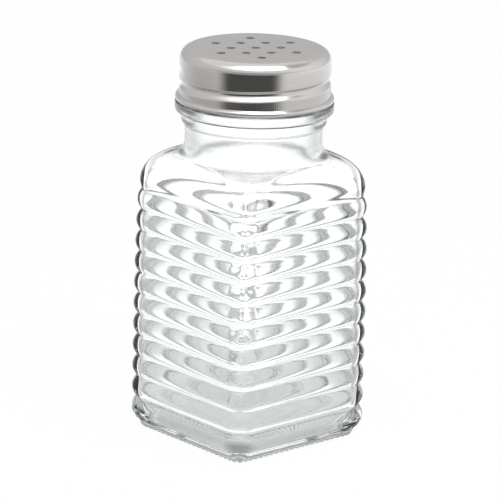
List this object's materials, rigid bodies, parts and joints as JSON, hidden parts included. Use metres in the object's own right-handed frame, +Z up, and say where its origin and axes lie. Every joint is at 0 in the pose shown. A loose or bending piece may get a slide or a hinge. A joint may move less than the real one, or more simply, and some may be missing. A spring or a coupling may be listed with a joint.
{
  "type": "salt shaker",
  "caption": "Square ribbed clear-glass salt shaker with rounded corners, a domed shoulder and a perforated stainless-steel screw cap.",
  "frame": {"origin": "centre of the base, on the surface that the shaker stands on", "axes": "+Z up along the jar's axis, X and Y square to the flat sides"},
  "size_m": [0.0452, 0.0452, 0.1],
  "materials": {
    "clear_glass": "gloss",
    "stainless_steel": "satin",
    "liner_plastic": "matte"
  },
  "bodies": {
    "glass_jar": {"glass_jar": "clear_glass"},
    "cap_liner": {"cap_liner": "liner_plastic"},
    "shaker_cap": {"shaker_cap": "stainless_steel"}
  },
  "joints": [
    {"name": "cap_lift", "type": "slide", "parent": "glass_jar", "child": "cap_liner", "axis": [0, 0, 1], "range_m": [0, 0.0044]},
    {"name": "cap_turn", "type": "hinge", "parent": "cap_liner", "child": "shaker_cap", "pos_m": [0, 0, 0.0995], "axis": [0, 0, 1], "range_deg": [0, 450]}
  ],
  "couplings": [
    {"joint": "cap_lift", "follows": "cap_turn", "m_per_rad": 0.00055704}
  ]
}
